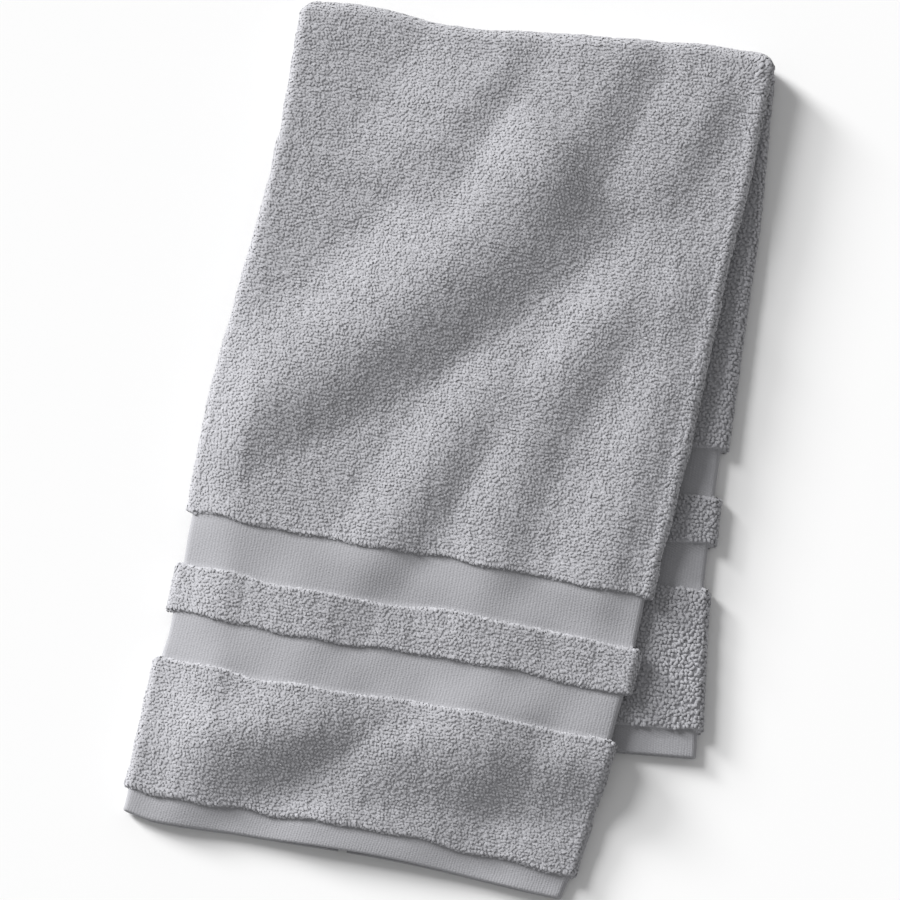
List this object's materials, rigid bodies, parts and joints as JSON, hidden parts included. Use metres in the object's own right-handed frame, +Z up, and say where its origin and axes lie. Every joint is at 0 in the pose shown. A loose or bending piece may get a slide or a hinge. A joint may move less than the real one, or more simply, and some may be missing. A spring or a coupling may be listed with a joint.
{
  "type": "folded bath towel",
  "caption": "Thick cotton terry bath towel, sides turned under and folded once across, with flat-weave borders and a pile stripe above the hem.",
  "frame": {"origin": "on the surface the towel lies on, under the middle of its outline", "axes": "+Z up, +Y along the towel from its loose ends to the crosswise fold, +X to the side where the lower part shows"},
  "size_m": [0.4498, 0.735, 0.0467],
  "materials": {
    "terry": "looped cotton pile with flat-weave borders, matt"
  },
  "bodies": {
    "root": {"towel": "terry"}
  },
  "joints": []
}
